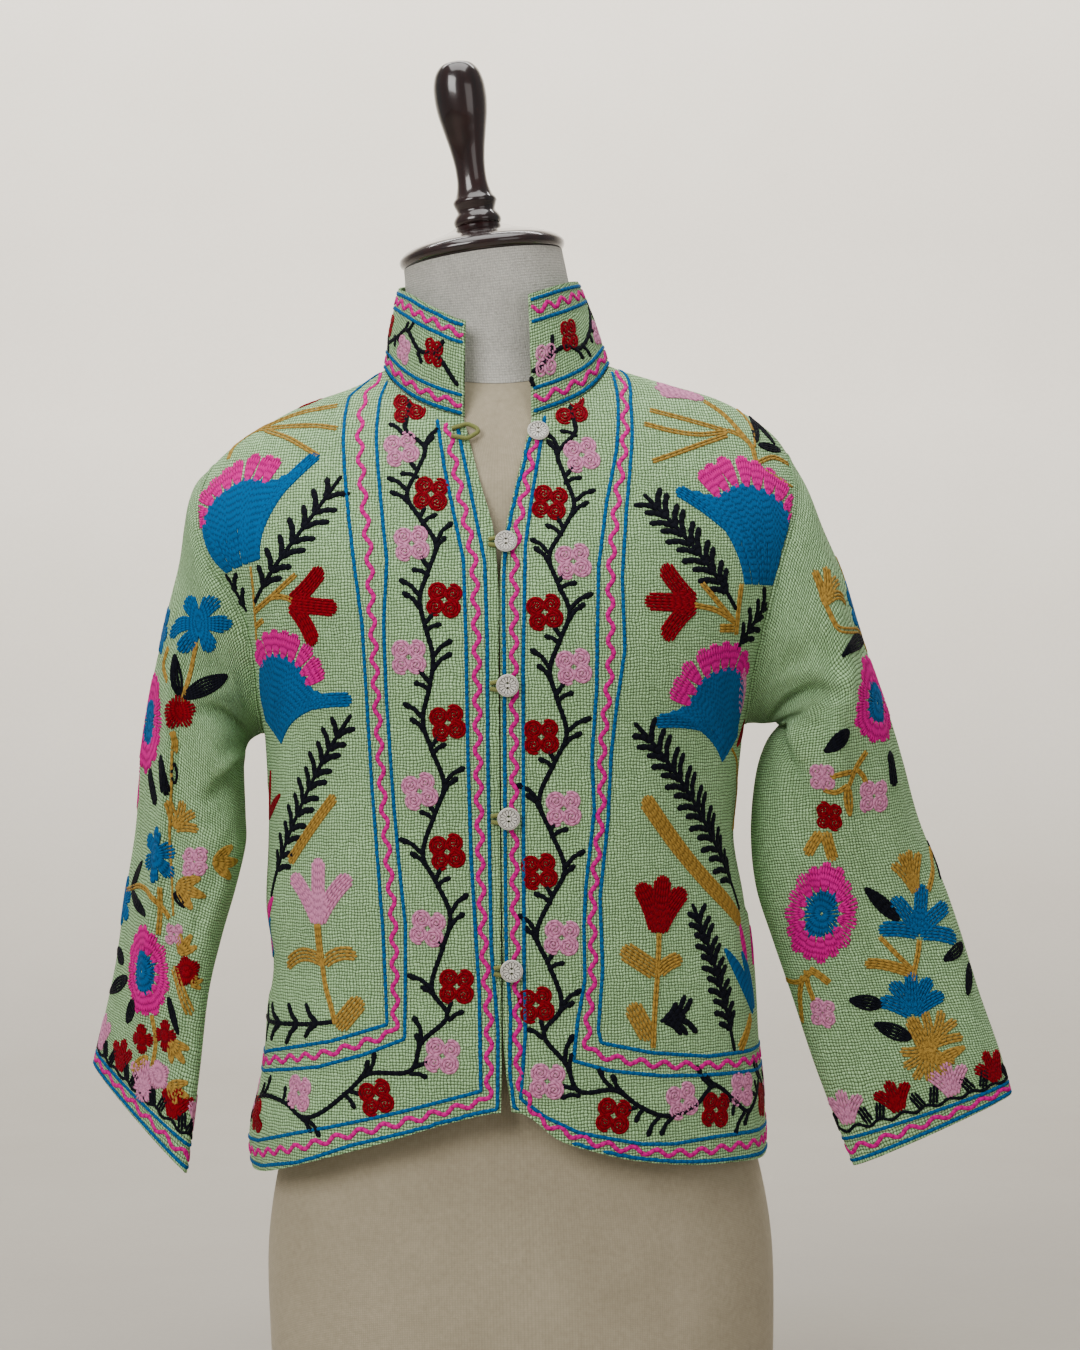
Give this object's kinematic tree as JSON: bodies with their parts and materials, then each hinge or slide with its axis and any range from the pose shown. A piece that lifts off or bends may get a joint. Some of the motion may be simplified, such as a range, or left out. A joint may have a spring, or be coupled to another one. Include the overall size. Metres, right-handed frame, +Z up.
{
  "type": "embroidered jacket on a limbless dress form",
  "caption": "Hip-length embroidered jacket with a stand collar, long sleeves and a looped button front, worn by a padded limbless dress form with a turned wooden neck cap and handle.",
  "frame": {"origin": "in the dress form's flat base, 5 mm to the wearer's right of the base's centre", "axes": "+Z up, front faces -Y, wearer's left is +X"},
  "size_m": [0.6945, 0.2884, 1.0201],
  "materials": {
    "jacket_cloth": "coarse sage cotton weave with wool chain-stitch embroidery",
    "button": "off-white enamel with dark flower lines",
    "loop_cord": "olive bias-cut cord",
    "form_linen": "plain cream linen, seamed",
    "neck_cloth": "nubbly grey-cream cloth",
    "dark_wood": "polished dark red-brown"
  },
  "bodies": {
    "root": {"front_right": "jacket_cloth", "front_left": "jacket_cloth", "back": "jacket_cloth", "sleeve_right": "jacket_cloth", "sleeve_left": "jacket_cloth", "collar": "jacket_cloth", "button_1": "button", "button_2": "button", "button_3": "button", "button_4": "button", "button_5": "button", "loop_1": "loop_cord", "loop_2": "loop_cord", "loop_3": "loop_cord", "loop_4": "loop_cord", "loop_5": "loop_cord", "form_torso": "form_linen", "form_neck": "neck_cloth", "neck_cap": "dark_wood", "neck_handle": "dark_wood"}
  },
  "joints": []
}
